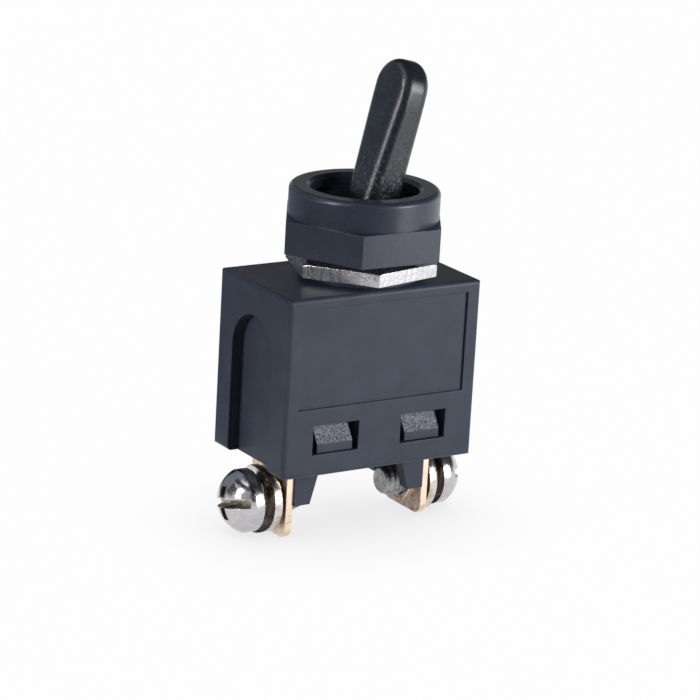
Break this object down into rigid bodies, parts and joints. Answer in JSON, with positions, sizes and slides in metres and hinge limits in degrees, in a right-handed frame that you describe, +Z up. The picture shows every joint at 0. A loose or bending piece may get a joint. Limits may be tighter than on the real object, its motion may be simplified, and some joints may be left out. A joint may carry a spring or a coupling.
{
  "type": "toggle switch",
  "caption": "Panel-mount toggle switch for an angle grinder: boxy dark case with a threaded neck, nuts, a tilting paddle lever, a snap-in base and brass screw terminals.",
  "frame": {"origin": "on the neck's axis, at the top face of the case", "axes": "+Z up along the neck, X along the case from terminal to terminal, -Y the front with the sunk panel"},
  "size_m": [0.0287, 0.0162, 0.0494],
  "materials": {
    "case_plastic": "fine moulded grain",
    "base_plastic": "moulded, rough on the snap hooks",
    "bezel_plastic": "moulded, with a soft sheen",
    "lever_plastic": "moulded, rougher near the root",
    "nut_plate": "nickel-plated, sawn faces",
    "screw_plate": "bright nickel plate",
    "washer_plate": "nickel plate, slightly dulled",
    "terminal_brass": "sheared brass strip",
    "blade_brass": "rolled strip",
    "contact_silver": "silver contact face",
    "pin_steel": "ground",
    "spring_steel": "drawn wire",
    "plunger_nylon": "natural nylon"
  },
  "bodies": {
    "housing": {"case_shell": "case_plastic", "terminal_base": "base_plastic", "hex_nut": "nut_plate", "bezel_nut": "bezel_plastic", "lever_pin": "pin_steel", "fixed_contact": "contact_silver", "contact_terminal": "terminal_brass", "pivot_terminal": "terminal_brass", "terminal_screw_left": "screw_plate", "terminal_screw_right": "screw_plate", "spring_washer_left": "washer_plate", "spring_washer_right": "washer_plate", "clamp_washer_left": "washer_plate", "clamp_washer_right": "washer_plate"},
    "lever": {"lever": "lever_plastic", "plunger_spring": "spring_steel"},
    "plunger": {"plunger": "plunger_nylon"},
    "rocker": {"rocker_blade": "blade_brass", "moving_contact": "contact_silver"}
  },
  "joints": [
    {"name": "lever_tilt", "type": "hinge", "parent": "housing", "child": "lever", "pos_m": [0, 0, 0.00345], "axis": [0, 1, 0], "range_deg": [-26.8, 0]},
    {"name": "rocker_tip", "type": "hinge", "parent": "housing", "child": "rocker", "pos_m": [0, 0, -0.0075], "axis": [0, 1, 0], "range_deg": [0, 16]},
    {"name": "plunger_slide", "type": "slide", "parent": "lever", "child": "plunger", "axis": [0.2317, 0, 0.9728], "range_m": [0, 0.0006], "stiffness_N_per_m": 400, "springref_m": -0.0025, "deforming": ["plunger_spring"]}
  ],
  "couplings": [
    {"joint": "rocker_tip", "follows": "lever_tilt", "ratio": -0.597}
  ]
}
